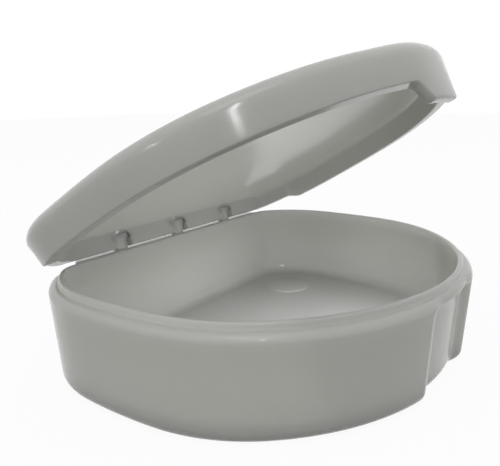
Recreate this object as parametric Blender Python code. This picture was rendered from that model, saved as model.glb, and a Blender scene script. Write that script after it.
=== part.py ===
# Hinged D-shaped case for a mouth guard: a drafted tray and a domed lid, both moulded in
# pale grey polypropylene. The tray's three hinge tongues snap into notches in the lid's back
# wall on small side pips, and the lid's front tab drops into a thumb recess in the tray.
# Metres, +Z up, the flat hinge side faces +Y, origin at the middle of the tray's underside.
import math

import bmesh
import bpy
from mathutils import Matrix, Vector

MM = 0.001

# Plan outline, half of it, from the middle of the flat hinge side round to the front
BACK_FLAT_HALF = 29.3 * MM      # half length of the straight hinge side
CORNER_RADIUS = 8.0 * MM        # tight bend at each end of the hinge side
CORNER_SWEEP = math.radians(42.4)
CHEEK_RADIUS = 22.1 * MM        # wider bend that runs into the side
CHEEK_SWEEP = math.radians(44.1)
SIDE_RADIUS = 90.8 * MM         # nearly straight side
SIDE_SWEEP = math.radians(9.7)
SHOULDER_RADIUS = 31.5 * MM     # bend towards the front
SHOULDER_SWEEP = math.radians(34.4)

# Tray
LEDGE_HEIGHT = 17.7 * MM        # seat of the lid's rim, above the table
RIM_ROUND = 1.4 * MM            # round on the outer edge of the seat
TRAY_DRAFT = math.radians(4.0)  # outer wall leans out towards the rim
FOOT_ROUND = 2.2 * MM           # round between wall and underside
LIP_SETBACK = 1.8 * MM          # from the outline to the lip's outer face
LIP_HEIGHT = 1.1 * MM           # lip above the ledge
LIP_WIDTH = 1.0 * MM
LIP_ROUND = 0.4 * MM
WELL_DRAFT = math.radians(3.0)
FLOOR_THICKNESS = 1.8 * MM
WELL_ROUND = 2.5 * MM           # fillet between well wall and floor
PAD_RADIUS = 5.5 * MM           # round pads on the well floor
PAD_HEIGHT = 0.3 * MM
PAD_FROM_BACK = 15.0 * MM       # pad centre from the hinge side
PAD_SPREAD = 24.5 * MM          # pad centre from the middle plane

# Thumb recess in the tray's front wall
RECESS_HALF = 6.0 * MM          # half width of its flat bottom
RECESS_BLEND = 4.5 * MM         # width of each soft side
RECESS_DEPTH = 1.7 * MM
RIM_JOG = 0.8 * MM              # the rim above it steps back by this
CATCH_HEIGHT = 1.1 * MM         # overhang under the rim that the latch bead hooks
RECESS_BULGE = 0.8 * MM         # how far the well wall bulges in behind it, at the floor

# Lid, heights as the lid stands closed
SEAT_GAP = 0.3 * MM             # running gap between the closed lid and the tray
RIM_OVERHANG = 0.9 * MM         # lid rim outside the outline
RIM_CHAMFER = 0.25 * MM
SKIRT_HEIGHT = 4.7 * MM         # straight part of the lid's side
SKIRT_BULGE = 0.45 * MM         # the side swells outward by this at its top
CHEEK_SWELL = 0.4 * MM          # more swell towards the hinge corners
CHEEK_REACH = 24.0 * MM         # where that starts, in front of the hinge side
CHEEK_FADE = 12.0 * MM
CROWN_ROUND = 2.0 * MM          # round between side and dome
CROWN_RISE = 4.3 * MM           # height of the dome above that round
CROWN_POWER = 2.3               # fullness of the dome
CROWN_RADIUS = 34.0 * MM        # its contours turn from the outline into rounds of this
LID_WALL = 1.6 * MM
INNER_ROUND = 1.0 * MM

# Latch tab on the lid's front
TAB_HALF = 4.7 * MM             # half width of its straight bottom edge
TAB_BLEND = 2.8 * MM            # width of the soft run from the rim down to that
TAB_DROP = 3.35 * MM            # below the lid's rim
TAB_SETBACK = 0.45 * MM         # tab's inner face inside the outline
BEAD_REACH = 0.3 * MM           # snap bead on the tab's inner face
BEAD_HEIGHT = 1.2 * MM
THUMB_HALF = 2.0 * MM           # thickened grip above and over the tab
THUMB_BLEND = 14.0 * MM
THUMB_SWELL = 0.5 * MM
THUMB_RISE = 0.35 * MM

# Hinge
HINGE_COUNT = 3
HINGE_PITCH = 16.9 * MM
PIVOT_ABOVE_LEDGE = 3.55 * MM
PIVOT_SETBACK = 0.85 * MM       # in from the outline's flat side
BRACE_END = 1.7 * MM            # the tray's raised hinge wall dies out over this, up to the flat's end
BRACE_ROUND = 0.5 * MM
KNUCKLE_INWARD = 0.3 * MM       # lid wall thickened inward along the hinge side
KNUCKLE_FADE = 2.4 * MM
RELIEF_HEIGHT = 0.4 * MM        # lid rim above the lip at the hinge corners
RELIEF_ROUND = 0.6 * MM
RELIEF_REACH = 6.0 * MM         # it holds this far in from the hinge side
RELIEF_FADE = 3.0 * MM          # and dies out over this
NOTCH_WIDTH = 3.4 * MM
NOTCH_ABOVE_PIVOT = 1.25 * MM
NOTCH_CORNER = 0.9 * MM
TONGUE_CLEARANCE = 0.3 * MM     # each side of a tongue
TONGUE_FRONT = 0.5 * MM         # tongue faces, measured from the pivot
TONGUE_BACK = 0.7 * MM
TONGUE_TOP = 0.9 * MM
PIP_RADIUS = 0.45 * MM
PIP_BITE = 0.5 * MM             # how far a pip reaches into the lid
PIP_CLEARANCE = 0.06 * MM
OPEN_ANGLE = math.radians(29.9)

# Drawing resolution
OVERRUN = 1.0 * MM
FLAT_STEPS = 5
BRACE_STEPS = 3
CORNER_STEPS = 6
CHEEK_STEPS = 6
SIDE_STEPS = 3
SHOULDER_STEPS = 6
FRONT_STEPS = 6
FEATURE_STEPS = 14
ROUND_STEPS = 4
CROWN_STEPS = 6
DISC_STEPS = 32
PIP_STEPS = 16
RIM_SHARES = (0.22, 0.36, 0.5, 0.62, 0.73, 0.82)   # points between the edges of the lid rim's underside

PLASTIC_COLOUR = (0.45, 0.45, 0.43, 1.0)
PLASTIC_ROUGHNESS = 0.24


def clearScene():
    for item in list(bpy.data.objects):
        bpy.data.objects.remove(item, do_unlink=True)


def smooth(value):
    """0 to 1 with flat ends."""
    value = min(max(value, 0.0), 1.0)
    return value * value * (3.0 - 2.0 * value)


def frontRadius():
    """Radius of the front arc that closes the outline on the middle plane."""
    sweep = 0.0
    x = BACK_FLAT_HALF
    for radius, turn in bends():
        x += radius * (math.sin(sweep + turn) - math.sin(sweep))
        sweep += turn
    return x / math.sin(sweep)


def bends():
    return [
        (CORNER_RADIUS, CORNER_SWEEP),
        (CHEEK_RADIUS, CHEEK_SWEEP),
        (SIDE_RADIUS, SIDE_SWEEP),
        (SHOULDER_RADIUS, SHOULDER_SWEEP),
    ]


def outlineDepth():
    sweep = 0.0
    depth = 0.0
    for radius, turn in bends() + [(frontRadius(), math.pi - sum(turn for _, turn in bends()))]:
        depth += radius * (math.cos(sweep) - math.cos(sweep + turn))
        sweep += turn
    return depth


BACK_Y = outlineDepth() / 2
PIVOT_Y = BACK_Y - PIVOT_SETBACK
PIVOT_Z = LEDGE_HEIGHT + PIVOT_ABOVE_LEDGE
SEAT_ROUND_Z = LEDGE_HEIGHT - RIM_ROUND
LIP_TOP = LEDGE_HEIGHT + LIP_HEIGHT
LID_RIM_Z = LEDGE_HEIGHT + SEAT_GAP
LID_BORE_SETBACK = LIP_SETBACK - SEAT_GAP
KNUCKLE_RADIUS = PIVOT_Z - LIP_TOP - SEAT_GAP
RELIEF_Z = LIP_TOP + RELIEF_HEIGHT


class Station:
    """One place on the outline: a point, its inward normal and how far its features are on."""

    def __init__(self, x, y, angle):
        self.point = Vector((x, y, 0.0))
        self.inward = Vector((-math.sin(angle), -math.cos(angle), 0.0))
        isFront = y < 0.0
        self.recess = 1.0 - smooth((x - RECESS_HALF) / RECESS_BLEND) if isFront else 0.0
        self.tab = 1.0 - smooth((x - TAB_HALF) / TAB_BLEND) if isFront else 0.0
        self.thumb = 1.0 - smooth((x - THUMB_HALF) / THUMB_BLEND) if isFront else 0.0
        self.brace = 0.0 if isFront else smooth((BACK_FLAT_HALF - x) / BRACE_END)
        self.knuckle = 0.0 if isFront else 1.0 - smooth((x - BACK_FLAT_HALF) / KNUCKLE_FADE)
        self.hinge = smooth((y - BACK_Y + RELIEF_REACH + RELIEF_FADE) / RELIEF_FADE)
        cheek = smooth((y - BACK_Y + CHEEK_REACH) / CHEEK_FADE)
        turned = smooth(angle / CORNER_SWEEP)
        self.swell = (SKIRT_BULGE + CHEEK_SWELL * cheek) * turned + THUMB_SWELL * self.thumb

    def mirrored(self):
        twin = Station(0.0, 0.0, 0.0)
        twin.__dict__.update(self.__dict__)
        twin.point = Vector((-self.point.x, self.point.y, 0.0))
        twin.inward = Vector((-self.inward.x, self.inward.y, 0.0))
        return twin

    def at(self, inset, z):
        place = self.point + self.inward * inset
        place.z = z
        return place


def stations():
    """Stations all round the outline, clockwise seen from above, from the back's middle."""
    braced = BACK_FLAT_HALF - BRACE_END
    widths = [braced * step / FLAT_STEPS for step in range(FLAT_STEPS)]
    widths += [braced + BRACE_END * step / BRACE_STEPS for step in range(BRACE_STEPS + 1)]
    half = [Station(x, BACK_Y, 0.0) for x in widths]
    sweep = 0.0
    steps = [CORNER_STEPS, CHEEK_STEPS, SIDE_STEPS, SHOULDER_STEPS]
    place = Vector((BACK_FLAT_HALF, BACK_Y, 0.0))
    for (radius, turn), count in zip(bends(), steps):
        centre = place - Vector((math.sin(sweep), math.cos(sweep), 0.0)) * radius
        for step in range(1, count + 1):
            angle = sweep + turn * step / count
            place = centre + Vector((math.sin(angle), math.cos(angle), 0.0)) * radius
            half.append(Station(place.x, place.y, angle))
        sweep += turn
    radius = frontRadius()
    centre = place - Vector((math.sin(sweep), math.cos(sweep), 0.0)) * radius
    recessEnd = RECESS_HALF + RECESS_BLEND
    reach = radius * math.sin(sweep)
    widths = [reach + (recessEnd - reach) * step / FRONT_STEPS for step in range(1, FRONT_STEPS)]
    widths += [recessEnd * (1 - step / FEATURE_STEPS) for step in range(FEATURE_STEPS + 1)]
    for x in widths:
        angle = math.pi - math.asin(x / radius)
        half.append(Station(x, centre.y + radius * math.cos(angle), angle))
    return half + [item.mirrored() for item in half[-2:0:-1]]


def arc(centreInset, centreZ, radius, start, end, steps):
    """Points of a round in the wall's section, by angle from straight down towards outside."""
    places = []
    for step in range(steps + 1):
        angle = start + (end - start) * step / steps
        places.append((centreInset - radius * math.sin(angle), centreZ - radius * math.cos(angle)))
    return places


def skin(name, rings, poles=(None, None)):
    """Closed body through rings of equal count; each end is a flat face or a fan to its pole."""
    mesh = bpy.data.meshes.new(name)
    body = bmesh.new()
    loops = [[body.verts.new(place) for place in ring] for ring in rings]
    for lower, upper in zip(loops, loops[1:]):
        for k in range(len(lower)):
            following = (k + 1) % len(lower)
            body.faces.new((lower[k], lower[following], upper[following], upper[k]))
    for loop, pole in zip((loops[0], loops[-1]), poles):
        if pole is None:
            body.faces.new(loop)
        else:
            tip = body.verts.new(pole)
            for k in range(len(loop)):
                body.faces.new((loop[k], loop[(k + 1) % len(loop)], tip))
    bmesh.ops.recalc_face_normals(body, faces=body.faces)
    body.to_mesh(mesh)
    body.free()
    thing = bpy.data.objects.new(name, mesh)
    bpy.context.scene.collection.objects.link(thing)
    return thing


def extruded(name, outlines, axisOf, low, high):
    """Prisms over closed 2-D outlines; axisOf turns (a, b, along) into a point."""
    mesh = bpy.data.meshes.new(name)
    body = bmesh.new()
    for outline in outlines:
        near = [body.verts.new(axisOf(a, b, low)) for a, b in outline]
        far = [body.verts.new(axisOf(a, b, high)) for a, b in outline]
        for k in range(len(near)):
            following = (k + 1) % len(near)
            body.faces.new((near[k], near[following], far[following], far[k]))
        body.faces.new(reversed(near))
        body.faces.new(far)
    bmesh.ops.recalc_face_normals(body, faces=body.faces)
    body.to_mesh(mesh)
    body.free()
    thing = bpy.data.objects.new(name, mesh)
    bpy.context.scene.collection.objects.link(thing)
    return thing


def rods(name, spans, y, z, radius):
    """Short round rods along X, one for each (start, end)."""
    ring = [(y + radius * math.cos(math.tau * k / PIP_STEPS), z + radius * math.sin(math.tau * k / PIP_STEPS))
            for k in range(PIP_STEPS)]
    mesh = bpy.data.meshes.new(name)
    body = bmesh.new()
    for start, end in spans:
        near = [body.verts.new((start, a, b)) for a, b in ring]
        far = [body.verts.new((end, a, b)) for a, b in ring]
        for k in range(PIP_STEPS):
            following = (k + 1) % PIP_STEPS
            body.faces.new((near[k], near[following], far[following], far[k]))
        body.faces.new(reversed(near))
        body.faces.new(far)
    bmesh.ops.recalc_face_normals(body, faces=body.faces)
    body.to_mesh(mesh)
    body.free()
    thing = bpy.data.objects.new(name, mesh)
    bpy.context.scene.collection.objects.link(thing)
    return thing


def combine(target, tool, operation):
    """Boolean that keeps the tool as a hidden guide."""
    step = target.modifiers.new(tool.name, "BOOLEAN")
    step.operation = operation
    step.object = tool
    step.solver = "EXACT"
    tool.hide_render = True
    tool.display_type = "WIRE"


def plastic(thing, name):
    """White polypropylene with a soft gloss."""
    material = bpy.data.materials.new(name)
    material.use_nodes = True
    shader = material.node_tree.nodes["Principled BSDF"]
    shader.inputs["Base Color"].default_value = PLASTIC_COLOUR
    shader.inputs["Roughness"].default_value = PLASTIC_ROUGHNESS
    shader.inputs["Metallic"].default_value = 0.0
    thing.data.materials.append(material)


def hingeCentres():
    return [HINGE_PITCH * (index - (HINGE_COUNT - 1) / 2) for index in range(HINGE_COUNT)]


def trayRings(places):
    """Rings of the tray from the underside, over the rim and down into the well."""
    tilt = math.tan(TRAY_DRAFT)
    centreInset = FOOT_ROUND * math.cos(TRAY_DRAFT)
    centreInset += (SEAT_ROUND_Z - FOOT_ROUND + FOOT_ROUND * math.sin(TRAY_DRAFT)) * tilt
    wall = arc(centreInset, FOOT_ROUND, FOOT_ROUND, 0.0, math.pi / 2 - TRAY_DRAFT, ROUND_STEPS)
    wall.append((CATCH_HEIGHT * tilt, SEAT_ROUND_Z - CATCH_HEIGHT))
    rings = [[place.at(inset + RECESS_DEPTH * place.recess, z) for place in places] for inset, z in wall]

    # Seat and lip; along the hinge side both give way to a raised wall with a flat top
    seat = arc(RIM_ROUND, SEAT_ROUND_Z, RIM_ROUND, math.pi / 2, math.pi, ROUND_STEPS)
    seat.append((LIP_SETBACK, LEDGE_HEIGHT))
    lip = arc(LIP_SETBACK + LIP_ROUND, LIP_TOP - LIP_ROUND, LIP_ROUND, math.pi / 2, math.pi, 2)
    braceTop = arc(BRACE_ROUND, LIP_TOP - BRACE_ROUND, BRACE_ROUND, math.pi / 2, math.pi, 2)
    straight = LIP_TOP - BRACE_ROUND - SEAT_ROUND_Z
    braced = [(0.0, SEAT_ROUND_Z + straight * step / len(seat)) for step in range(len(seat))]
    for (inset, z), (braceInset, braceZ) in zip(seat + lip, braced + braceTop):
        jog = RIM_JOG * max(1.0 - inset / LIP_SETBACK, 0.0)
        rings.append([place.at(inset + jog * place.recess + (braceInset - inset) * place.brace,
                               z + (braceZ - z) * place.brace) for place in places])

    innerEdge = LIP_SETBACK + LIP_WIDTH
    inner = arc(innerEdge - LIP_ROUND, LIP_TOP - LIP_ROUND, LIP_ROUND, math.pi, 1.5 * math.pi, 2)
    wellTop = LIP_TOP - LIP_ROUND
    filletTop = FLOOR_THICKNESS + WELL_ROUND
    lean = (wellTop - filletTop) * math.tan(WELL_DRAFT)
    fillet = arc(innerEdge + lean + WELL_ROUND, filletTop, WELL_ROUND, math.pi / 2, 0.0, ROUND_STEPS)
    for inset, z in inner + fillet:
        bulge = RECESS_BULGE * (LIP_TOP - z) / LIP_TOP
        rings.append([place.at(inset + bulge * place.recess, z) for place in places])
    return rings


def tongueOutline():
    """Side view (y, z) of a hinge tongue, rooted in the top of the tray's hinge wall."""
    front = PIVOT_Y - TONGUE_FRONT
    back = PIVOT_Y + TONGUE_BACK
    radius = (back - front) / 2
    topCentre = PIVOT_Z + TONGUE_TOP - radius
    root = LIP_TOP - LIP_WIDTH
    points = [(front, root)]
    for step in range(PIP_STEPS // 2 + 1):
        angle = math.pi - math.pi * step / (PIP_STEPS / 2)
        points.append(((front + back) / 2 + radius * math.cos(angle), topCentre + radius * math.sin(angle)))
    return points + [(back, root)]


def makeTray():
    tray = skin("base_tray", trayRings(stations()))
    half = NOTCH_WIDTH / 2 - TONGUE_CLEARANCE
    pads = []
    for side in (-1, 1):
        ring = [(side * PAD_SPREAD + PAD_RADIUS * math.cos(math.tau * k / DISC_STEPS),
                 BACK_Y - PAD_FROM_BACK + PAD_RADIUS * math.sin(math.tau * k / DISC_STEPS))
                for k in range(DISC_STEPS)]
        pads.append(ring)
    disc = extruded("pad_guide", pads, lambda a, b, along: (a, b, along),
                    FLOOR_THICKNESS / 2, FLOOR_THICKNESS + PAD_HEIGHT)
    combine(tray, disc, "UNION")
    for index, x in enumerate(hingeCentres()):
        tongue = extruded(f"tongue_guide_{index}", [tongueOutline()],
                          lambda a, b, along: (along, a, b), x - half, x + half)
        combine(tray, tongue, "UNION")
        reach = half + TONGUE_CLEARANCE + PIP_BITE
        pip = rods(f"pip_guide_{index}", [(x - reach, x + reach)], PIVOT_Y, PIVOT_Z, PIP_RADIUS)
        combine(tray, pip, "UNION")
    plastic(tray, "tray_plastic")
    return tray


def domeRings(places, edgeInset, edgeZ, isOuter):
    """Rings that shrink towards the middle of the outline while they climb the dome."""
    edge = [place.at(edgeInset - place.swell * isOuter, THUMB_RISE * place.thumb * isOuter) for place in places]
    rings = []
    for step in range(1, CROWN_STEPS + 1):
        share = math.cos(math.pi / 2 * step / (CROWN_STEPS + 1))
        height = edgeZ + CROWN_RISE * (1.0 - share ** CROWN_POWER)
        ring = []
        for point in edge:
            scale = share * (share + (1.0 - share) * CROWN_RADIUS / point.xy.length)
            ring.append(Vector((point.x * scale, point.y * scale, height + point.z * share ** 4)))
        rings.append(ring)
    return rings


def reliefZ(inset):
    """Height of the lid's rim at the hinge corners, rounded at its outer edge."""
    reach = max(RELIEF_ROUND - RIM_OVERHANG - inset, 0.0)
    return RELIEF_Z + RELIEF_ROUND - math.sqrt(max(RELIEF_ROUND ** 2 - reach ** 2, 0.0))


def knuckleZ(inset):
    """Height of the lid's rim along the hinge side, round about the hinge axis."""
    return PIVOT_Z - math.sqrt(KNUCKLE_RADIUS ** 2 - (PIVOT_SETBACK - inset) ** 2)


def rimRings(places):
    """Rings across the lid rim's underside, inside to outside; at the front they wrap the tab."""
    tabBottom = LID_RIM_Z - TAB_DROP
    beadFoot = tabBottom + RIM_CHAMFER
    wrapped = [
        (LID_BORE_SETBACK, LID_RIM_Z + RIM_CHAMFER),
        (LID_BORE_SETBACK - RIM_CHAMFER, LID_RIM_Z),
        (TAB_SETBACK + RIM_CHAMFER, LID_RIM_Z),
        (TAB_SETBACK, LID_RIM_Z - RIM_CHAMFER),
        (TAB_SETBACK, beadFoot + BEAD_HEIGHT),
        (TAB_SETBACK + BEAD_REACH, beadFoot + BEAD_HEIGHT / 2),
        (TAB_SETBACK, beadFoot),
        (TAB_SETBACK - RIM_CHAMFER, tabBottom),
        (RIM_CHAMFER - RIM_OVERHANG, tabBottom),
        (-RIM_OVERHANG, beadFoot),
    ]
    edge = RIM_CHAMFER / (LID_BORE_SETBACK + RIM_OVERHANG)
    shares = (0.0, edge) + RIM_SHARES + (1.0 - edge, 1.0)
    rings = []
    for share, (tabInset, tabZ) in zip(shares, wrapped):
        isEdge = share in (0.0, 1.0)
        ring = []
        for place in places:
            innerFace = LID_BORE_SETBACK + KNUCKLE_INWARD * place.knuckle
            inset = innerFace - (innerFace + RIM_OVERHANG) * share
            z = LID_RIM_Z + RIM_CHAMFER * isEdge
            relieved = reliefZ(inset) + (knuckleZ(inset) - reliefZ(inset)) * place.knuckle
            z += (relieved - z) * place.hinge
            grip = THUMB_SWELL * place.thumb * (share > RIM_SHARES[-1])
            ring.append(place.at(inset + (tabInset - inset) * place.tab - grip, z + (tabZ - z) * place.tab))
        rings.append(ring)
    return rings


def lidRings(places):
    """Rings of the closed lid from the inner dome down to the rim and up over the outside."""
    slope = math.atan(CROWN_POWER * CROWN_RISE / (BACK_FLAT_HALF + CORNER_RADIUS))
    skirtTop = LID_RIM_Z + SKIRT_HEIGHT
    outer = arc(CROWN_ROUND - RIM_OVERHANG, skirtTop, CROWN_ROUND, math.pi / 2, math.pi - slope, ROUND_STEPS)
    edgeInset, edgeZ = outer[-1]
    innerEdgeZ = edgeZ - LID_WALL
    innerTop = innerEdgeZ - INNER_ROUND * math.cos(slope)
    inner = arc(LID_BORE_SETBACK + INNER_ROUND, innerTop, INNER_ROUND, math.pi / 2, math.pi - slope, ROUND_STEPS)

    rings = []
    for number, (inset, z) in enumerate(inner):
        inward = KNUCKLE_INWARD * (1.0 - smooth(number / ROUND_STEPS))
        rings.append([place.at(inset + inward * place.knuckle, z) for place in places])
    rings = list(reversed(rings + domeRings(places, inner[-1][0], innerEdgeZ, False)))
    rings += rimRings(places)
    for number, (inset, z) in enumerate(outer):
        rise = THUMB_RISE * number / ROUND_STEPS
        rings.append([place.at(inset - place.swell, z + rise * place.thumb) for place in places])
    rings += domeRings(places, edgeInset, edgeZ, True)
    return rings, (Vector((0.0, 0.0, innerEdgeZ + CROWN_RISE)), Vector((0.0, 0.0, edgeZ + CROWN_RISE)))


def notchOutline(x):
    """Front view (x, z) of a hinge notch with rounded top corners, open at the rim."""
    half = NOTCH_WIDTH / 2
    top = PIVOT_Z + NOTCH_ABOVE_PIVOT
    bottom = LID_RIM_Z - OVERRUN
    points = [(x - half, bottom), (x + half, bottom)]
    for side, start in ((1, 0.0), (-1, math.pi / 2)):
        for step in range(ROUND_STEPS + 1):
            angle = start + math.pi / 2 * step / ROUND_STEPS
            points.append((x + side * (half - NOTCH_CORNER) + NOTCH_CORNER * math.cos(angle),
                           top - NOTCH_CORNER + NOTCH_CORNER * math.sin(angle)))
    return points


def makeLid():
    lid = skin("lid", *lidRings(stations()))
    deep = LID_BORE_SETBACK + LIP_SETBACK
    for index, x in enumerate(hingeCentres()):
        notch = extruded(f"notch_guide_{index}", [notchOutline(x)],
                         lambda a, b, along: (a, along, b), BACK_Y - deep, BACK_Y + deep)
        combine(lid, notch, "DIFFERENCE")
        reach = NOTCH_WIDTH / 2 + PIP_BITE + TONGUE_CLEARANCE
        bore = rods(f"bore_guide_{index}", [(x - reach, x + reach)], PIVOT_Y, PIVOT_Z, PIP_RADIUS + PIP_CLEARANCE)
        combine(lid, bore, "DIFFERENCE")
    plastic(lid, "lid_plastic")
    return lid


def hang(lid):
    """Hangs the lid on the hinge axis, open as it lies in use."""
    pivot = bpy.data.objects.new("hinge_axis", None)
    bpy.context.scene.collection.objects.link(pivot)
    pivot.location = (0.0, PIVOT_Y, PIVOT_Z)
    pivot.rotation_euler = (-OPEN_ANGLE, 0.0, 0.0)
    moved = [lid] + [step.object for step in lid.modifiers]
    for thing in moved:
        thing.data.transform(Matrix.Translation((0.0, -PIVOT_Y, -PIVOT_Z)))
        thing.parent = pivot


def shade(thing):
    thing.data.shade_smooth()
    thing.data.set_sharp_from_angle(angle=math.radians(35.0))


clearScene()
tray = makeTray()
lid = makeLid()
hang(lid)
shade(tray)
shade(lid)
print(f"width {2 * max(place.point.x for place in stations()) / MM:.1f} mm, depth {outlineDepth() / MM:.1f} mm")
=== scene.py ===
import math

import bmesh
import bpy
from mathutils import Matrix, Vector


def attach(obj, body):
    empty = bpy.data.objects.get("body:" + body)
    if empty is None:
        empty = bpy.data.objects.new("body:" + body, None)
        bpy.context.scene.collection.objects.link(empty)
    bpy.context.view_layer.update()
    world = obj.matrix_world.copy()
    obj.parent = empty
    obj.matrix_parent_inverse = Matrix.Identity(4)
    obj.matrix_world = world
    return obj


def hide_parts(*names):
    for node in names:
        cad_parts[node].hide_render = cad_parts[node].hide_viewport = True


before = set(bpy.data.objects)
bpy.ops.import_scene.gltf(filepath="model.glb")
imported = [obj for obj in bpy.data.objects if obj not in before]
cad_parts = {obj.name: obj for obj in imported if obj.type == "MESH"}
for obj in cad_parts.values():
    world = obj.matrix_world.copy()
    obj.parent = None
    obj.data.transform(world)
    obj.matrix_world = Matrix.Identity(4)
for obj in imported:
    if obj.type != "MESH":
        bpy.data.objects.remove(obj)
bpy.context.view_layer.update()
mm = 0.001
print("packed case loaded")


# Sockets and nodes

class Signal:
    # wraps a node's socket, so that sums on it add Math nodes
    def __init__(self, graph, socket):
        self.graph = graph
        self.socket = socket

    def maths(self, operation, first, second=0.0):
        return self.graph.node("ShaderNodeMath", {"operation": operation}, {0: first, 1: second})

    def __add__(self, other):
        return self.maths("ADD", self, other)

    def __radd__(self, other):
        return self.maths("ADD", other, self)

    def __sub__(self, other):
        return self.maths("SUBTRACT", self, other)

    def __rsub__(self, other):
        return self.maths("SUBTRACT", other, self)

    def __mul__(self, other):
        return self.maths("MULTIPLY", self, other)

    def __rmul__(self, other):
        return self.maths("MULTIPLY", other, self)

    def __truediv__(self, other):
        return self.maths("DIVIDE", self, other)

    def __pow__(self, other):
        return self.maths("POWER", self, other)

    def clamped(self):
        return self.maths("MINIMUM", self.maths("MAXIMUM", self, 0.0), 1.0)


class Graph:
    def __init__(self, tree):
        self.tree = tree

    def node(self, kind, settings=None, sockets=None, output=0):
        made = self.tree.nodes.new(kind)
        for key, value in (settings or {}).items():
            if key == "stops":
                ramp = made.color_ramp
                while len(ramp.elements) < len(value):
                    ramp.elements.new(0.5)
                for element, (place, colour) in zip(ramp.elements, value):
                    element.position = place
                    element.color = colour
            else:
                setattr(made, key, value)
        for key, value in (sockets or {}).items():
            if isinstance(value, Signal):
                self.tree.links.new(value.socket, made.inputs[key])
            else:
                made.inputs[key].default_value = value
        return Signal(self, made.outputs[output]) if made.outputs else made

    def vector(self, operation, first, second):
        return self.node("ShaderNodeVectorMath", {"operation": operation}, {0: first, 1: second})

    def scaled(self, vector, factor):
        return self.node("ShaderNodeVectorMath", {"operation": "SCALE"}, {0: vector, "Scale": factor})

    def blended(self, mask, first, second):
        # a Mix node's colour sockets share their names with its other kinds, so they go by number
        return self.node("ShaderNodeMix", {"data_type": "RGBA"}, {0: mask, 6: first, 7: second}, 2)

    def attribute(self, name, kind="FLOAT"):
        return self.node("GeometryNodeInputNamedAttribute", {"data_type": kind}, {"Name": name})


# Outline of the case, seen from above, sizes in millimetres and bends in degrees

outline = {
    "backFlatHalf": 29.3,
    "bends": [(8.0, 42.4, 18), (22.1, 44.1, 22), (90.8, 9.7, 8), (31.5, 34.4, 20)],   # radius, turn, steps
    "flatSteps": 18,
    "braceSteps": 8,
    "frontSteps": 20,
    "featureSteps": 42,
    "recessHalf": 6.0,
    "recessBlend": 4.5,
    "tabHalf": 4.7,
    "tabBlend": 2.8,
    "thumbHalf": 2.0,
    "thumbBlend": 14.0,
    "braceHalf": 27.6,
    "knuckleFade": 2.4,
    "cheekReach": 24.0,
    "cheekFade": 12.0,
    "reliefReach": 6.0,
    "reliefFade": 3.0,
}

# Tray, in millimetres and degrees; steps count the points along a round or a run

tray = {
    "ledgeHeight": 17.7,
    "rimRound": 1.4,
    "draft": 4.0,
    "footRound": 2.2,
    "lipSetback": 1.8,
    "lipHeight": 1.1,
    "lipWidth": 1.0,
    "lipRound": 0.4,
    "ledgeFillet": 0.25,
    "wellDraft": 3.0,
    "floorThickness": 1.8,
    "wellRound": 2.5,
    "recessDepth": 1.7,
    "rimJog": 0.8,
    "catchHeight": 1.1,
    "recessBulge": 0.8,
    "braceRound": 0.5,
    "padRadius": 5.5,
    "padRound": 0.12,
    "padHeight": 0.3,
    "padFromBack": 15.0,
    "padSpread": 24.5,
    "floorShares": (0.0, 0.3, 0.6, 0.85),
    "footSteps": 10,
    "wallSteps": 8,
    "overhangSteps": 6,
    "rimSteps": 10,
    "filletSteps": 4,
    "lipSteps": 6,
    "wellWallSteps": 8,
    "wellSteps": 10,
    "padSteps": 72,
}

# Lid, as it sits closed on the tray

lid = {
    "seatGap": 0.3,
    "rimOverhang": 0.9,
    "rimRound": 0.25,
    "skirtHeight": 4.7,
    "skirtBulge": 0.45,
    "cheekSwell": 0.4,
    "crownRound": 2.0,
    "crownRise": 4.3,
    "crownPower": 2.3,
    "crownRadius": 34.0,
    "wall": 1.6,
    "innerRound": 1.0,
    "tabDrop": 3.35,
    "tabSetback": 0.45,
    "tabRound": 0.5,
    "beadReach": 0.3,
    "beadHeight": 1.2,
    "thumbSwell": 0.5,
    "thumbRise": 0.35,
    "thumbFade": 4,        # power of the rise's fall towards the crown
    "thumbStart": 9,       # points before the end of the tab's section
    "thumbRun": 4,
    "knuckleInward": 0.3,
    "reliefHeight": 0.4,
    "reliefRound": 0.6,
    "openAngle": 29.9,
    "crownSteps": 12,
    "innerSteps": 10,
    "domeSteps": 22,
    "rimSteps": 4,
    "beadSteps": 8,
    "tabSteps": 6,
    "skirtSteps": 8,
}

# Hinge, measured from its axis

hinge = {
    "count": 3,
    "pitch": 16.9,
    "aboveLedge": 3.55,
    "setback": 0.85,
    "notchWidth": 3.4,
    "notchAbovePivot": 1.25,
    "notchCorner": 0.9,
    "tongueClearance": 0.3,
    "tongueFront": 0.5,
    "tongueBack": 0.7,
    "tongueTop": 0.9,
    "pipRadius": 0.45,
    "pipBite": 0.5,
    "pipClearance": 0.06,
    "pipBevel": 0.12,
    "pipSteps": 28,
    "tongueBevel": 0.1,
    "tongueSteps": 16,
    "notchSteps": 8,
}

# How meshes are closed, bevelled and shaded

moulding = {
    "mergeReach": 0.005,
    "bevelAngle": 40,
    "bevelSegments": 3,
    "sharpAngle": 32,
}

pathKeys = ("recess", "tab", "thumb", "brace", "knuckle", "hinge", "swell")
sectionKeys = ("inset", "height", "climb", "recessIn", "braceIn", "braceUp", "tabIn", "tabUp",
               "knuckleIn", "knuckleUp", "hingeUp", "swellShare", "thumbOut", "thumbUp")
shareKeys = ("climb", "swellShare")


def smooth(value):
    value = min(max(value, 0.0), 1.0)
    return value * value * (3.0 - 2.0 * value)


def faded(value, start, width):
    # 1 up to start, 0 from start plus width on
    return 1.0 - smooth((value - start) / width)


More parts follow.
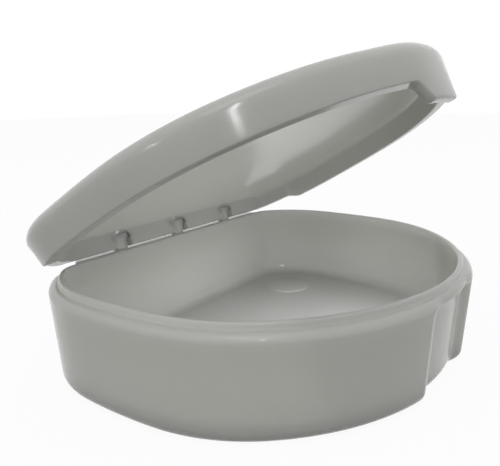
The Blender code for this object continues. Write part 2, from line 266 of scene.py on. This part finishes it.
def stationFeatures(x, y, angle):
    # how far each feature is on at one place of the outline; y is measured from the hinge side
    front = 1.0 if angle > math.pi / 2 else 0.0
    cheek = smooth((y + outline["cheekReach"]) / outline["cheekFade"])
    turned = smooth(angle / math.radians(outline["bends"][0][1]))
    thumb = front * faded(x, outline["thumbHalf"], outline["thumbBlend"])
    return {
        "recess": front * faded(x, outline["recessHalf"], outline["recessBlend"]),
        "tab": front * faded(x, outline["tabHalf"], outline["tabBlend"]),
        "thumb": thumb,
        "brace": (1 - front) * faded(x, outline["braceHalf"], outline["backFlatHalf"] - outline["braceHalf"]),
        "knuckle": (1 - front) * faded(x, outline["backFlatHalf"], outline["knuckleFade"]),
        "hinge": smooth((y + outline["reliefReach"] + outline["reliefFade"]) / outline["reliefFade"]),
        "swell": ((lid["skirtBulge"] + lid["cheekSwell"] * cheek) * turned + lid["thumbSwell"] * thumb) * mm,
    }


def walkOutline():
    # stations clockwise from the middle of the hinge side, and the outline's half depth
    bends = [(radius, math.radians(turn), steps) for radius, turn, steps in outline["bends"]]
    brace, flat = outline["braceHalf"], outline["backFlatHalf"]
    half = [(brace * step / outline["flatSteps"], 0.0, 0.0) for step in range(outline["flatSteps"])]
    half += [(brace + (flat - brace) * step / outline["braceSteps"], 0.0, 0.0)
             for step in range(outline["braceSteps"] + 1)]
    x, y, heading = half[-1]
    for radius, turn, steps in bends:
        for step in range(1, steps + 1):
            angle = heading + turn * step / steps
            half.append((x + radius * (math.sin(angle) - math.sin(heading)),
                         y + radius * (math.cos(angle) - math.cos(heading)), angle))
        x, y, heading = half[-1]
    radius = x / math.sin(heading)
    recessEnd = outline["recessHalf"] + outline["recessBlend"]
    places = [x + (recessEnd - x) * step / outline["frontSteps"]
              for step in range(1, outline["frontSteps"])]
    places += [recessEnd * (1 - step / outline["featureSteps"])
               for step in range(outline["featureSteps"] + 1)]
    for place in places:
        angle = math.pi - math.asin(place / radius)
        half.append((place, y + radius * (math.cos(angle) - math.cos(heading)), angle))
    depth = -half[-1][1]
    rows = [{"x": x, "y": y + depth / 2, "angle": angle, **stationFeatures(x, y, angle)}
            for x, y, angle in half]
    mirrored = [{**row, "x": -row["x"], "angle": -row["angle"]} for row in rows[-2:0:-1]]
    return rows + mirrored, depth / 2


def addObject(name, mesh):
    thing = bpy.data.objects.new(name, mesh)
    bpy.context.scene.collection.objects.link(thing)
    return thing


def lineObject(name, places, columns, closed):
    # a chain of points whose named columns become point attributes
    mesh = bpy.data.meshes.new(name)
    count = len(places)
    edges = [(k, (k + 1) % count) for k in range(count if closed else count - 1)]
    mesh.from_pydata(places, edges, [])
    for key, values in columns.items():
        if isinstance(values[0], (tuple, Vector)):
            mesh.attributes.new(key, "FLOAT_VECTOR", "POINT").data.foreach_set(
                "vector", [share for value in values for share in value])
        else:
            mesh.attributes.new(key, "FLOAT", "POINT").data.foreach_set("value", values)
    return addObject(name, mesh)


def outlineObject():
    rows = walkOutline()[0]
    spots = [(row["x"] * mm, row["y"] * mm, 0.0) for row in rows]
    columns = {key: [row[key] for row in rows] for key in pathKeys}
    columns["spot"] = spots
    columns["inward"] = [(-math.sin(row["angle"]), -math.cos(row["angle"]), 0.0) for row in rows]
    return lineObject("outlineGuide", spots, columns, True)


def sectionObject(name, rows):
    # rows of dictionaries, sizes in millimetres, apart from shares
    def column(key):
        unit = 1.0 if key in shareKeys else mm
        return [row.get(key, 1.0 if key == "climb" else 0.0) * unit for row in rows]

    places = [(row["inset"] * mm, -row["height"] * mm, index * mm) for index, row in enumerate(rows)]
    return lineObject(name, places, {key: column(key) for key in sectionKeys}, False)


def bend(inset, height, radius, start, end, steps):
    # points of a round in a wall's section, by angle from straight down towards outside
    return [(inset - radius * math.sin(start + (end - start) * step / steps),
             height - radius * math.cos(start + (end - start) * step / steps)) for step in range(steps + 1)]


def traySection():
    draft = math.radians(tray["draft"])
    rimStart = tray["ledgeHeight"] - tray["rimRound"]
    foot = tray["footRound"]
    footInset = foot * math.cos(draft) + (rimStart - foot + foot * math.sin(draft)) * math.tan(draft)
    outside = bend(footInset, foot, foot, 0.0, math.pi / 2 - draft, tray["footSteps"])
    footTop = outside[-1][1]
    catch = rimStart - tray["catchHeight"]
    for step in range(1, tray["wallSteps"] + 1):
        height = footTop + (catch - footTop) * step / tray["wallSteps"]
        outside.append(((rimStart - height) * math.tan(draft), height))
    rows = [{"inset": footInset, "height": 0.0, "climb": share, "recessIn": tray["recessDepth"]}
            for share in tray["floorShares"]]
    rows += [{"inset": inset, "height": height, "recessIn": tray["recessDepth"]}
             for inset, height in outside]
    for step in range(1, tray["overhangSteps"] + 1):   # overhang under the rim, above the recess
        share = step / tray["overhangSteps"]
        height = catch + tray["catchHeight"] * share
        jog = tray["recessDepth"] + (tray["rimJog"] - tray["recessDepth"]) * smooth(share)
        rows.append({"inset": (rimStart - height) * math.tan(draft), "height": height, "recessIn": jog})

    # seat and lip; along the hinge side both give way to a raised wall with a flat top
    fillet = tray["ledgeFillet"]
    lipFace = tray["lipSetback"]
    lipTop = tray["ledgeHeight"] + tray["lipHeight"]
    rim, corner, edge = tray["rimRound"], tray["lipRound"], tray["braceRound"]
    seat = bend(rim, rimStart, rim, math.pi / 2, math.pi, tray["rimSteps"])[1:]
    seat.append((lipFace - fillet, tray["ledgeHeight"]))
    seat += bend(lipFace - fillet, tray["ledgeHeight"] + fillet, fillet, 0.0, -math.pi / 2,
                 tray["filletSteps"])[1:]
    straight = lipTop - edge - rimStart
    braced = [(0.0, rimStart + straight * (step + 1) / (len(seat) + 1)) for step in range(len(seat))]
    seat += bend(lipFace + corner, lipTop - corner, corner, math.pi / 2, math.pi, tray["lipSteps"])
    braced += bend(edge, lipTop - edge, edge, math.pi / 2, math.pi, tray["lipSteps"])
    for (inset, height), (braceInset, braceHeight) in zip(seat, braced):
        rows.append({"inset": inset, "height": height,
                     "recessIn": tray["rimJog"] * max(1 - inset / lipFace, 0.0),
                     "braceIn": braceInset - inset, "braceUp": braceHeight - height})

    innerEdge = lipFace + tray["lipWidth"]
    well = tray["wellRound"]
    wallTop, wallFoot = lipTop - corner, tray["floorThickness"] + well
    lean = (wallTop - wallFoot) * math.tan(math.radians(tray["wellDraft"]))
    inside = bend(innerEdge - corner, wallTop, corner, math.pi, 1.5 * math.pi, tray["lipSteps"])
    for step in range(1, tray["wellWallSteps"]):
        share = step / tray["wellWallSteps"]
        inside.append((innerEdge + lean * share, wallTop + (wallFoot - wallTop) * share))
    inside += bend(innerEdge + lean + well, wallFoot, well, math.pi / 2, 0.0, tray["wellSteps"])
    rows += [{"inset": inset, "height": height, "recessIn": tray["recessBulge"] * (lipTop - height) / lipTop}
             for inset, height in inside]
    rows += [{**rows[-1], "climb": share} for share in reversed(tray["floorShares"])]
    return rows


def domeRows(inset, height, **extra):
    steps = lid["domeSteps"]
    shares = [math.cos(math.pi / 2 * step / steps) for step in range(1, steps)] + [0.0]
    rows = [{"inset": inset, "height": height, "climb": share, **extra} for share in shares]
    for row in rows:
        row["thumbUp"] = extra.get("thumbUp", 0.0) * row["climb"] ** lid["thumbFade"]
    return rows


def reliefHeight(inset):
    # rim of the lid at the hinge corners, rounded at its outer edge
    corner = lid["reliefRound"]
    reach = max(corner - lid["rimOverhang"] - inset, 0.0)
    bottom = tray["ledgeHeight"] + tray["lipHeight"] + lid["reliefHeight"]
    return bottom + corner - math.sqrt(max(corner ** 2 - reach ** 2, 0.0))


def knuckleHeight(inset):
    # rim of the lid along the hinge side, round about the hinge axis
    radius = hinge["aboveLedge"] - tray["lipHeight"] - lid["seatGap"]
    axis = tray["ledgeHeight"] + hinge["aboveLedge"]
    return axis - math.sqrt(radius ** 2 - (hinge["setback"] - inset) ** 2)


def tabPath(bore, rim):
    # section round the tab, from the lid's bore to the tab's outer face
    small, wide = lid["rimRound"], lid["tabRound"]
    inner, bottom = lid["tabSetback"], rim - lid["tabDrop"]
    steps = lid["rimSteps"]
    path = bend(bore - small, rim + small, small, -math.pi / 2, 0.0, steps)
    path += bend(inner + small, rim - small, small, math.pi, math.pi / 2, steps)
    for step in range(lid["beadSteps"] + 1):   # snap bead on the tab's inner face
        share = step / lid["beadSteps"]
        swell = lid["beadReach"] * math.cos(math.pi / 2 * (2 * share - 1))
        path.append((inner + swell, bottom + small + lid["beadHeight"] * (1 - share)))
    path += bend(inner - small, bottom + small, small, -math.pi / 2, 0.0, steps)[1:]
    return path + bend(wide - lid["rimOverhang"], bottom + wide, wide, 0.0, math.pi / 2, lid["tabSteps"])


def lidSection():
    rim = tray["ledgeHeight"] + lid["seatGap"]
    halfWidth = outline["backFlatHalf"] + outline["bends"][0][0]
    slope = math.atan(lid["crownPower"] * lid["crownRise"] / halfWidth)
    skirtTop = rim + lid["skirtHeight"]
    corner = lid["crownRound"]
    outerRound = bend(corner - lid["rimOverhang"], skirtTop, corner, math.pi / 2, math.pi - slope,
                      lid["crownSteps"])
    edgeInset, edgeHeight = outerRound[-1]
    bore = tray["lipSetback"] - lid["seatGap"]
    inner = lid["innerRound"]
    innerTop = edgeHeight - lid["wall"] - inner * math.cos(slope)
    innerRound = bend(bore + inner, innerTop, inner, math.pi / 2, math.pi - slope, lid["innerSteps"])

    rows = [{"inset": inset, "height": height,
             "knuckleIn": lid["knuckleInward"] * (1 - smooth(number / lid["innerSteps"]))}
            for number, (inset, height) in enumerate(innerRound)]
    rows = list(reversed(rows + domeRows(*innerRound[-1])))

    # underside of the rim, inside to outside: plain, wrapped round the tab, or relieved at the hinge
    wrapped = tabPath(bore, rim)
    thumbStart = len(wrapped) - lid["thumbStart"]
    for number, (tabInset, tabHeight) in enumerate(wrapped):
        share = (1 - math.cos(math.pi * number / (len(wrapped) - 1))) / 2
        inset = bore - (bore + lid["rimOverhang"]) * share
        edge = max(lid["rimRound"] - min(bore - inset, inset + lid["rimOverhang"]), 0.0)
        height = rim + lid["rimRound"] - math.sqrt(lid["rimRound"] ** 2 - edge ** 2)
        inward = lid["knuckleInward"] * (1 - share)
        rows.append({
            "inset": inset, "height": height, "tabIn": tabInset - inset, "tabUp": tabHeight - height,
            "knuckleIn": inward, "hingeUp": reliefHeight(inset) - height,
            "knuckleUp": knuckleHeight(inset + inward) - reliefHeight(inset),
            "thumbOut": lid["thumbSwell"] * smooth((number - thumbStart) / lid["thumbRun"]),
        })
    foot = rows[-1]
    fading = ("tabUp", "hingeUp", "knuckleUp", "thumbOut")
    for step in range(1, lid["skirtSteps"] + 1):
        share = step / lid["skirtSteps"]
        height = foot["height"] + (skirtTop - foot["height"]) * share
        rows.append({"inset": foot["inset"], "height": height, "swellShare": share,
                     **{key: foot[key] * (1 - share) for key in fading}})
    for number, (inset, height) in enumerate(outerRound[1:], 1):
        rows.append({"inset": inset, "height": height, "swellShare": 1.0,
                     "thumbUp": lid["thumbRise"] * number / lid["crownSteps"]})
    return rows + domeRows(edgeInset, edgeHeight, swellShare=1.0, thumbUp=lid["thumbRise"])


# One node tree sweeps a wall's section along the outline and closes it over the middle

def shellTree():
    tree = bpy.data.node_groups.new("mouldedShell", "GeometryNodeTree")
    for name, kind in (("Outline", "NodeSocketObject"), ("Section", "NodeSocketObject"),
                       ("Dome Rise", "NodeSocketFloat"), ("Dome Fullness", "NodeSocketFloat"),
                       ("Dome Radius", "NodeSocketFloat"), ("Plastic", "NodeSocketMaterial")):
        tree.interface.new_socket(name, in_out="INPUT", socket_type=kind)
    tree.interface.new_socket("Shell", in_out="OUTPUT", socket_type="NodeSocketGeometry")
    graph = Graph(tree)
    entry = tree.nodes.new("NodeGroupInput")
    given = {socket.name: Signal(graph, socket) for socket in entry.outputs if socket.name}

    def chain(name):
        mesh = graph.node("GeometryNodeObjectInfo", {}, {"Object": given[name]}, "Geometry")
        return graph.node("GeometryNodeMeshToCurve", {}, {"Mesh": mesh})

    swept = graph.node("GeometryNodeCurveToMesh", {},
                       {"Curve": chain("Outline"), "Profile Curve": chain("Section")})
    section = {key: graph.attribute(key) for key in sectionKeys}
    along = {key: graph.attribute(key) for key in pathKeys}
    inset = section["inset"] + along["recess"] * section["recessIn"] + along["brace"] * section["braceIn"]
    inset = inset + along["tab"] * section["tabIn"] + along["knuckle"] * section["knuckleIn"]
    inset = inset - along["swell"] * section["swellShare"] - along["thumb"] * section["thumbOut"]
    height = section["height"] + along["brace"] * section["braceUp"] + along["tab"] * section["tabUp"]
    height = height + along["knuckle"] * section["knuckleUp"] + along["hinge"] * section["hingeUp"]
    height = height + along["thumb"] * section["thumbUp"]
    climb = section["climb"]
    height = height + given["Dome Rise"] * (1.0 - climb ** given["Dome Fullness"])
    spot = graph.attribute("spot", "FLOAT_VECTOR")
    inward = graph.attribute("inward", "FLOAT_VECTOR")
    place = graph.vector("ADD", spot, graph.scaled(inward, inset))
    reach = graph.node("ShaderNodeVectorMath", {"operation": "LENGTH"}, {0: place}, "Value")
    place = graph.scaled(place, climb * (climb + (1.0 - climb) * given["Dome Radius"] / reach))
    place = graph.vector("ADD", place, graph.node("ShaderNodeCombineXYZ", {}, {"Z": height}))
    shaped = graph.node("GeometryNodeSetPosition", {}, {"Geometry": swept, "Position": place})
    closed = graph.node("GeometryNodeMergeByDistance", {},
                        {"Geometry": shaped, "Distance": moulding["mergeReach"] * mm})
    plastic = graph.node("GeometryNodeSetMaterial", {}, {"Geometry": closed, "Material": given["Plastic"]})
    leave = tree.nodes.new("NodeGroupOutput")
    tree.links.new(plastic.socket, leave.inputs[0])
    return tree


# One node tree repeats a hinge tongue along the hinge line

def tongueTree():
    tree = bpy.data.node_groups.new("hingeRow", "GeometryNodeTree")
    for name, kind in (("Tongue", "NodeSocketObject"), ("Count", "NodeSocketInt"),
                       ("First", "NodeSocketVector"), ("Pitch", "NodeSocketVector"),
                       ("Plastic", "NodeSocketMaterial")):
        tree.interface.new_socket(name, in_out="INPUT", socket_type=kind)
    tree.interface.new_socket("Row", in_out="OUTPUT", socket_type="NodeSocketGeometry")
    graph = Graph(tree)
    entry = tree.nodes.new("NodeGroupInput")
    given = {socket.name: Signal(graph, socket) for socket in entry.outputs if socket.name}
    tongue = graph.node("GeometryNodeObjectInfo", {}, {"Object": given["Tongue"]}, "Geometry")
    line = graph.node("GeometryNodeMeshLine", {}, {"Count": given["Count"], "Start Location": given["First"],
                                                   "Offset": given["Pitch"]})
    row = graph.node("GeometryNodeInstanceOnPoints", {}, {"Points": line, "Instance": tongue})
    real = graph.node("GeometryNodeRealizeInstances", {}, {"Geometry": row})
    plastic = graph.node("GeometryNodeSetMaterial", {}, {"Geometry": real, "Material": given["Plastic"]})
    leave = tree.nodes.new("NodeGroupOutput")
    tree.links.new(plastic.socket, leave.inputs[0])
    return tree


def plainMesh(thing):
    # the object's mesh with its modifiers worked in
    view = bpy.context.evaluated_depsgraph_get()
    return bpy.data.meshes.new_from_object(thing.evaluated_get(view), preserve_all_data_layers=False,
                                           depsgraph=view)


def grown(name, tree, inputs):
    # runs a tree on an empty mesh and keeps the result as a plain mesh
    host = addObject(name + "Host", bpy.data.meshes.new(name + "Host"))
    step = host.modifiers.new("build", "NODES")
    step.node_group = tree
    for item in tree.interface.items_tree:
        if item.in_out == "INPUT" and item.name in inputs:
            step[item.identifier] = inputs[item.name]
    mesh = plainMesh(host)
    bpy.data.objects.remove(host, do_unlink=True)
    mesh.name = name
    guides = sectionKeys + pathKeys + ("spot", "inward")
    for key in [item.name for item in mesh.attributes if item.name in guides]:
        mesh.attributes.remove(mesh.attributes[key])
    body = bmesh.new()
    body.from_mesh(mesh)
    bmesh.ops.recalc_face_normals(body, faces=body.faces)
    body.to_mesh(mesh)
    body.free()
    return addObject(name, mesh)


def prism(name, corners, spread, low, high, bevel=0.0):
    # spread turns (a, b, along) into a point, all in millimetres
    body = bmesh.new()
    near = [body.verts.new(Vector(spread(a, b, low)) * mm) for a, b in corners]
    far = [body.verts.new(Vector(spread(a, b, high)) * mm) for a, b in corners]
    for k in range(len(near)):
        following = (k + 1) % len(near)
        body.faces.new((near[k], near[following], far[following], far[k]))
    body.faces.new(reversed(near))
    body.faces.new(far)
    bmesh.ops.recalc_face_normals(body, faces=body.faces)
    if bevel:
        sharp = [edge for edge in body.edges
                 if edge.calc_face_angle(0.0) > math.radians(moulding["bevelAngle"])]
        bmesh.ops.bevel(body, geom=sharp, offset=bevel * mm, segments=moulding["bevelSegments"],
                        profile=0.5, affect="EDGES")
    mesh = bpy.data.meshes.new(name)
    body.to_mesh(mesh)
    body.free()
    return addObject(name, mesh)


def circle(a, b, radius, steps):
    return [(a + radius * math.cos(math.tau * k / steps), b + radius * math.sin(math.tau * k / steps))
            for k in range(steps)]


def carve(target, tool, operation):
    step = target.modifiers.new(operation.lower(), "BOOLEAN")
    step.operation = operation
    step.object = tool
    step.solver = "EXACT"
    mesh = plainMesh(target)
    old = target.data
    target.modifiers.clear()
    target.data = mesh
    bpy.data.meshes.remove(old)
    bpy.data.objects.remove(tool, do_unlink=True)


def finishPiece(piece, body, replaced, material):
    piece.data.materials.clear()
    piece.data.materials.append(material)
    for face in piece.data.polygons:
        face.material_index = 0
    piece.data.shade_smooth()
    piece.data.set_sharp_from_angle(angle=math.radians(moulding["sharpAngle"]))
    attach(piece, body)
    if replaced:
        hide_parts(replaced)


# Moulded plastic

plasticLook = {
    "colour": (0.454, 0.454, 0.434, 1.0),
    "deepColour": (0.445, 0.444, 0.423, 1.0),
    "refraction": 1.49,
    "mirrorLevel": 0.34,
    "translucency": {"tray": 0.60, "lid": 0.44},
    "scatterDepth": 20.0,   # millimetres
    "scatterTint": (1.0, 1.0, 0.90),
    "roughness": 0.13,
    "flowRoughness": 0.04,
    "scuffRoughness": 0.03,
    "grainRoughness": 0.02,
    "grainHeight": 0.0012,
    "flowHeight": 0.012,
    "ringHeight": 0.0015,
    "reliefStrength": 0.6,
    "noises": {   # size in millimetres, detail, roughness, distortion
        "flow": (9.0, 3.0, 0.45, 0.6),
        "grain": (0.45, 2.0, 0.5, 0.0),
        "scuff": (2.2, 6.0, 0.62, 1.2),
    },
    "noiseMiddle": 0.5,
    "deepFlow": 0.35,
    "flowContrast": 1.6,
    "scuffTint": 0.25,
    "scuffEdges": (0.56, 0.72),
    "patternShift": {"tray": (0.013, 0.007, 0.0), "lid": (0.052, 0.028, 0.0)},   # metres
    "gate": {"tray": (0.0, 0.0, 0.0), "lid": (0.0, 0.008, 0.044)},   # middle of the flow rings, metres
    "ringTurn": 2600.0,     # radians of the rings' wave to a metre
    "ringWander": 9.0,
    "ringFade": 60.0,       # share lost to a metre
}


def mouldedPlastic(name, body):
    material = bpy.data.materials.new(name)
    material.use_nodes = True
    tree = material.node_tree
    tree.nodes.clear()
    graph = Graph(tree)
    look = plasticLook
    place = graph.node("ShaderNodeTexCoord", {}, {}, "Object")
    shifted = graph.node("ShaderNodeMapping", {}, {"Vector": place, "Location": look["patternShift"][body]})

    def noise(key):
        size, detail, rough, warp = look["noises"][key]
        return graph.node("ShaderNodeTexNoise", {}, {
            "Vector": shifted, "Scale": 1.0 / (size * mm),
            "Detail": detail, "Roughness": rough, "Distortion": warp})

    flow, grain, scuff = noise("flow"), noise("grain"), noise("scuff")
    reach = graph.node("ShaderNodeVectorMath", {"operation": "DISTANCE"},
                       {0: place, 1: look["gate"][body]}, "Value")
    wave = reach * look["ringTurn"] + flow * look["ringWander"]
    fade = (1.0 - reach * look["ringFade"]).clamped()
    rings = graph.node("ShaderNodeMath", {"operation": "SINE"}, {0: wave}) * fade * fade

    middle = look["noiseMiddle"]
    shallow = (flow - look["deepFlow"]) * look["flowContrast"] + (scuff - middle) * look["scuffTint"]
    colour = graph.blended(shallow.clamped(), look["deepColour"], look["colour"])
    plain, full = look["scuffEdges"]
    scuffed = graph.node("ShaderNodeValToRGB", {"stops": [(plain, (0, 0, 0, 1)), (full, (1, 1, 1, 1))]},
                         {"Fac": scuff})
    scuffMask = graph.node("ShaderNodeSeparateColor", {}, {"Color": scuffed})
    roughness = look["roughness"] + (flow - middle) * look["flowRoughness"]
    roughness = roughness + scuffMask * look["scuffRoughness"] + (grain - middle) * look["grainRoughness"]

    relief = grain * look["grainHeight"] + flow * look["flowHeight"] + rings * look["ringHeight"]
    bump = graph.node("ShaderNodeBump", {},
                      {"Height": relief, "Distance": mm, "Strength": look["reliefStrength"]})
    shader = graph.node("ShaderNodeBsdfPrincipled", {}, {
        "Base Color": colour, "Roughness": roughness, "Normal": bump, "Metallic": 0.0,
        "IOR": look["refraction"], "Specular IOR Level": look["mirrorLevel"],
        "Subsurface Weight": look["translucency"][body], "Subsurface Radius": look["scatterTint"],
        "Subsurface Scale": look["scatterDepth"] * mm,
    })
    graph.node("ShaderNodeOutputMaterial", {}, {"Surface": shader})
    return material


# Build

backDepth = walkOutline()[1]
pivot = Vector((0.0, backDepth - hinge["setback"], tray["ledgeHeight"] + hinge["aboveLedge"]))
hingeCentres = [hinge["pitch"] * (index - (hinge["count"] - 1) / 2) for index in range(hinge["count"])]
trayPlastic = mouldedPlastic("trayPolypropylene", "tray")
lidPlastic = mouldedPlastic("lidPolypropylene", "lid")
print("plastics mixed")

outlineGuide = outlineObject()
shell = shellTree()


def buildTray():
    guide = sectionObject("traySectionGuide", traySection())
    piece = grown("trayShell", shell, {
        "Outline": outlineGuide, "Section": guide, "Dome Rise": 0.0, "Dome Fullness": 1.0,
        "Dome Radius": lid["crownRadius"] * mm, "Plastic": trayPlastic})
    bpy.data.objects.remove(guide, do_unlink=True)
    floor = tray["floorThickness"]
    for side in (-1, 1):   # round marks on the well's floor
        rim = circle(side * tray["padSpread"], backDepth - tray["padFromBack"],
                     tray["padRadius"], tray["padSteps"])
        disc = prism("padGuide", rim, lambda a, b, along: (a, b, along),
                     floor / 2, floor + tray["padHeight"], tray["padRound"])
        carve(piece, disc, "UNION")
    finishPiece(piece, "tray", "base_tray", trayPlastic)


def alongHinge(a, b, along):
    # spread of a prism that lies along the hinge axis
    return along, a, b


def tongueCorners():
    front, back = -hinge["tongueFront"], hinge["tongueBack"]
    radius = (back - front) / 2
    root = tray["ledgeHeight"] + tray["lipHeight"] - tray["lipWidth"] - pivot.z
    corners = [(front, root)]
    for step in range(hinge["tongueSteps"] + 1):
        angle = math.pi - math.pi * step / hinge["tongueSteps"]
        corners.append(((front + back) / 2 + radius * math.cos(angle),
                        hinge["tongueTop"] - radius + radius * math.sin(angle)))
    return corners + [(back, root)]


def buildTongues():
    half = hinge["notchWidth"] / 2 - hinge["tongueClearance"]
    tongue = prism("tongueGuide", tongueCorners(), alongHinge, -half, half, hinge["tongueBevel"])
    reach = half + hinge["tongueClearance"] + hinge["pipBite"]
    pip = prism("pipGuide", circle(0.0, 0.0, hinge["pipRadius"], hinge["pipSteps"]), alongHinge,
                -reach, reach, hinge["pipBevel"])
    carve(tongue, pip, "UNION")
    first = Vector((hingeCentres[0], pivot.y, pivot.z)) * mm
    piece = grown("hingeTongues", tongueTree(), {
        "Tongue": tongue, "Count": hinge["count"], "First": first,
        "Pitch": (hinge["pitch"] * mm, 0.0, 0.0), "Plastic": trayPlastic})
    bpy.data.objects.remove(tongue, do_unlink=True)
    finishPiece(piece, "tray", None, trayPlastic)


def notchCorners():
    half = hinge["notchWidth"] / 2
    corner = hinge["notchCorner"]
    top = hinge["notchAbovePivot"]
    bottom = tray["ledgeHeight"] - pivot.z
    corners = [(-half, bottom), (half, bottom)]
    for side, start in ((1, 0.0), (-1, math.pi / 2)):
        for step in range(hinge["notchSteps"] + 1):
            angle = start + math.pi / 2 * step / hinge["notchSteps"]
            corners.append((side * (half - corner) + corner * math.cos(angle),
                            top - corner + corner * math.sin(angle)))
    return corners


def buildLid():
    guide = sectionObject("lidSectionGuide", lidSection())
    piece = grown("lidShell", shell, {
        "Outline": outlineGuide, "Section": guide, "Dome Rise": lid["crownRise"] * mm,
        "Dome Fullness": lid["crownPower"], "Dome Radius": lid["crownRadius"] * mm, "Plastic": lidPlastic})
    bpy.data.objects.remove(guide, do_unlink=True)
    deep = 2 * tray["lipSetback"] - lid["seatGap"]
    reach = hinge["notchWidth"] / 2 + hinge["pipBite"] + hinge["tongueClearance"]
    for x in hingeCentres:
        notch = prism("notchGuide", notchCorners(),
                      lambda a, b, along: (x + a, backDepth + along, pivot.z + b), -deep, deep)
        carve(piece, notch, "DIFFERENCE")
        ring = circle(pivot.y, pivot.z, hinge["pipRadius"] + hinge["pipClearance"], hinge["pipSteps"])
        bore = prism("boreGuide", ring, alongHinge, x - reach, x + reach)
        carve(piece, bore, "DIFFERENCE")
    centre = pivot * mm
    swing = Matrix.Rotation(-math.radians(lid["openAngle"]), 4, "X")
    piece.data.transform(Matrix.Translation(centre) @ swing @ Matrix.Translation(-centre))
    finishPiece(piece, "lid", "lid", lidPlastic)


buildTray()
print("tray built")
buildTongues()
print("hinge tongues built")
buildLid()
print("lid built")
bpy.data.objects.remove(outlineGuide, do_unlink=True)


# Camera, in millimetres and degrees

viewpoint = {
    "azimuth": -53.46,
    "elevation": 13.40,
    "roll": -1.07,
    "distance": 135.25,
    "target": (13.64, 21.1, 17.33),
    "lens": 40.694,
    "sensor": 36.0,
    "nearest": 5.0,
    "farthest": 20000.0,
}


def placeCamera():
    azimuth, elevation = math.radians(viewpoint["azimuth"]), math.radians(viewpoint["elevation"])
    roll = math.radians(viewpoint["roll"])
    level = Vector((math.sin(azimuth), -math.cos(azimuth), 0.0))
    back = level * math.cos(elevation) + Vector((0.0, 0.0, math.sin(elevation)))
    right = Vector((math.cos(azimuth), math.sin(azimuth), 0.0))
    up = back.cross(right)
    turnedRight = math.cos(roll) * right + math.sin(roll) * up
    turnedUp = -math.sin(roll) * right + math.cos(roll) * up
    data = bpy.data.cameras.new("photoCamera")
    data.lens = viewpoint["lens"]
    data.sensor_width = viewpoint["sensor"]
    data.clip_start, data.clip_end = viewpoint["nearest"] * mm, viewpoint["farthest"] * mm
    camera = addObject("photoCamera", data)
    place = Matrix((turnedRight, turnedUp, back)).transposed().to_4x4()
    place.translation = (back * viewpoint["distance"] + Vector(viewpoint["target"])) * mm
    camera.matrix_world = place
    bpy.context.scene.camera = camera


# Studio, in metres: pale floor, even white surroundings, three lamps and two small fills in the tray

studio = {
    "floorSize": 3.0,
    "floorDrop": 0.00002,
    "floorColour": (0.14, 0.14, 0.138, 1.0),
    "floorWhite": 0.93,     # share of the floor that keeps white where it is seen; the rest takes the shadow
    "surround": 0.61,       # light of the surroundings on the object
    "white": (1.0, 1.0, 1.0, 1.0),
    "lamps": [
        # name, place, aim, width, height, watts
        ("keyLamp", (-0.367, -0.212, 0.708), (0.0, 0.0, 0.03), 0.50, 0.50, 1.1),
        ("windowLamp", (-0.527, -0.488, 0.459), (-0.034, -0.012, 0.047), 0.040, 0.17, 0.55),
        ("sideLamp", (-0.818, 0.051, 0.223), (-0.040, -0.004, 0.0425), 0.15, 0.040, 0.20),
        ("backFill", (0.0, -0.020, 0.0130), (0.0, 0.030, 0.0060), 0.044, 0.006, 0.0075),
        ("floorFill", (0.0, 0.002, 0.0165), (0.0, 0.002, 0.0), 0.052, 0.036, 0.0039),
    ],
}


def seenRay(graph):
    # 1 where the background is looked at or mirrored, 0 where it only lights
    ray = graph.tree.nodes.new("ShaderNodeLightPath")
    camera, glossy, through = (Signal(graph, ray.outputs[name])
                               for name in ("Is Camera Ray", "Is Glossy Ray", "Is Transmission Ray"))
    return (camera + glossy + through).clamped()


def buildStudio():
    world = bpy.data.worlds.new("surround")
    world.use_nodes = True
    world.node_tree.nodes.clear()
    graph = Graph(world.node_tree)
    strength = studio["surround"] + seenRay(graph) * (1.0 - studio["surround"])
    background = graph.node("ShaderNodeBackground", {}, {"Color": studio["white"], "Strength": strength})
    graph.node("ShaderNodeOutputWorld", {}, {"Surface": background})
    bpy.context.scene.world = world

    half = studio["floorSize"] / 2
    mesh = bpy.data.meshes.new("studioFloor")
    corners = [(-half, -half, 0.0), (half, -half, 0.0), (half, half, 0.0), (-half, half, 0.0)]
    mesh.from_pydata(corners, [], [(0, 1, 2, 3)])
    floor = addObject("studioFloor", mesh)
    floor.location.z = -studio["floorDrop"]
    material = bpy.data.materials.new("floorPaper")
    material.use_nodes = True
    material.node_tree.nodes.clear()
    graph = Graph(material.node_tree)
    seen = seenRay(graph)
    colour = graph.blended(seen, studio["floorColour"], studio["white"])
    paper = graph.node("ShaderNodeBsdfDiffuse", {}, {"Color": colour})
    glow = graph.node("ShaderNodeEmission", {}, {"Color": studio["white"], "Strength": 1.0})
    mixed = graph.node("ShaderNodeMixShader", {}, {0: seen * studio["floorWhite"], 1: paper, 2: glow})
    graph.node("ShaderNodeOutputMaterial", {}, {"Surface": mixed})
    mesh.materials.append(material)

    for name, place, aim, width, height, watts in studio["lamps"]:
        data = bpy.data.lights.new(name, "AREA")
        data.shape = "ELLIPSE"
        data.size, data.size_y = width, height
        data.energy = watts
        lamp = addObject(name, data)
        lamp.visible_camera = False
        lamp.visible_glossy = "Fill" not in name
        lamp.location = place
        lamp.rotation_euler = (Vector(aim) - Vector(place)).to_track_quat("-Z", "Y").to_euler()


placeCamera()
buildStudio()
bpy.context.scene.view_settings.view_transform = "Standard"
print("camera and studio placed")
